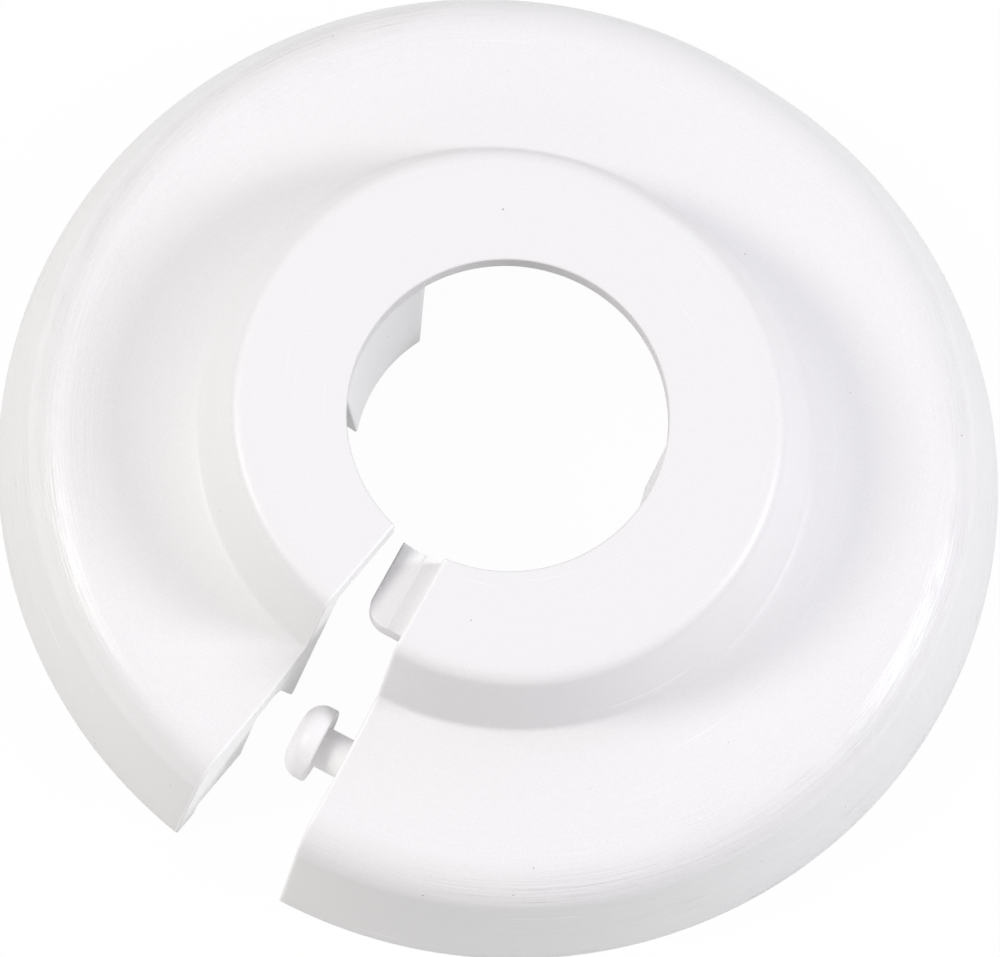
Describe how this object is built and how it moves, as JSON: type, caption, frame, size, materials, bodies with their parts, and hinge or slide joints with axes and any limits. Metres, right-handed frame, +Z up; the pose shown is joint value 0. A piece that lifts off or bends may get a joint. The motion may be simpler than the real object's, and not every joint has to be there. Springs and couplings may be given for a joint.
{
  "type": "radiator pipe collar",
  "caption": "Open round snap-fit collar with a raised hub, a hollow flange and a rounded rim, which covers the wall hole round a heating pipe and grips the pipe with lugs.",
  "frame": {"origin": "on the bore axis, at the base plane of the rim", "axes": "+Z up along the bore axis, away from the wall; the gap opens towards -Y"},
  "size_m": [0.0566, 0.0549, 0.0135],
  "materials": {
    "collar": "satin"
  },
  "bodies": {
    "root": {"pipe_collar": "collar"}
  },
  "joints": []
}
